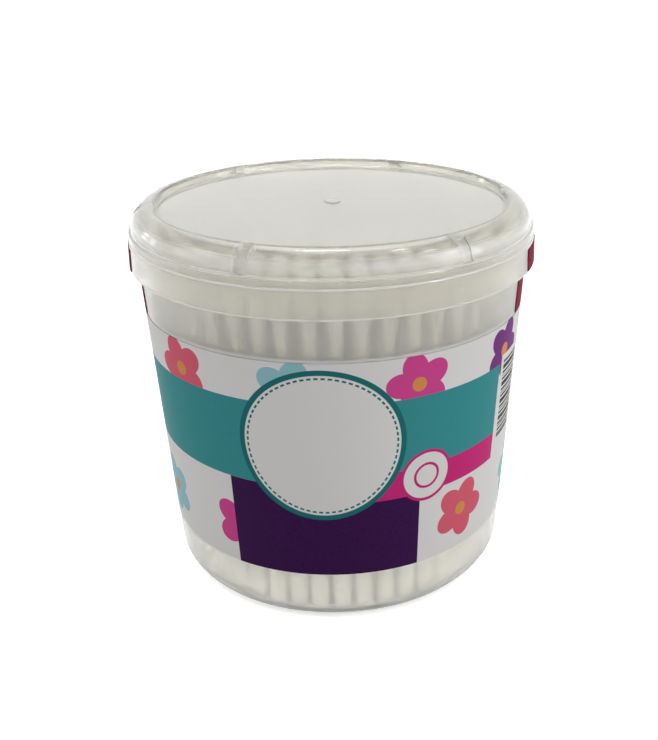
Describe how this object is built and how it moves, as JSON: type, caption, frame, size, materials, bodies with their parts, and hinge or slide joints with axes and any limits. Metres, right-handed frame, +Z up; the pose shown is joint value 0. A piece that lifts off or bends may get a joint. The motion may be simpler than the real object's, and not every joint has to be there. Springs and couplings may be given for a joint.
{
  "type": "cotton swab tub",
  "caption": "Round tapered translucent tub with a press-on lid, wrap label and seal strips, packed with upright cotton swabs.",
  "frame": {"origin": "middle of the foot, on the surface that the tub stands on", "axes": "+Z up along the axis of the tub, -Y towards the front of the label, +X to the right of someone facing the front"},
  "size_m": [0.0852, 0.085, 0.0813],
  "materials": {
    "tub_plastic": "translucent natural polypropylene, satin",
    "lid_plastic": "translucent natural polypropylene, glossy",
    "label_paper": "printed coated paper, satin",
    "seal_film": "tinted film",
    "stick_paper": "rolled white paper",
    "cotton": "wound cotton fibre"
  },
  "bodies": {
    "tub": {"tub": "tub_plastic", "label": "label_paper", "seal_right_tub": "seal_film", "seal_left_tub": "seal_film", "swab_sticks_outer": "stick_paper", "swab_sticks_second": "stick_paper", "swab_sticks_third": "stick_paper", "swab_sticks_core": "stick_paper", "cotton_top_outer": "cotton", "cotton_top_second": "cotton", "cotton_top_third": "cotton", "cotton_top_core": "cotton", "cotton_bottom_outer": "cotton", "cotton_bottom_second": "cotton", "cotton_bottom_third": "cotton", "cotton_bottom_core": "cotton"},
    "lid": {"lid": "lid_plastic", "seal_right_lid": "seal_film", "seal_left_lid": "seal_film"}
  },
  "joints": [
    {"name": "lid_lift", "type": "slide", "parent": "tub", "child": "lid", "axis": [0, 0, 1], "range_m": [0, 0.045]}
  ]
}
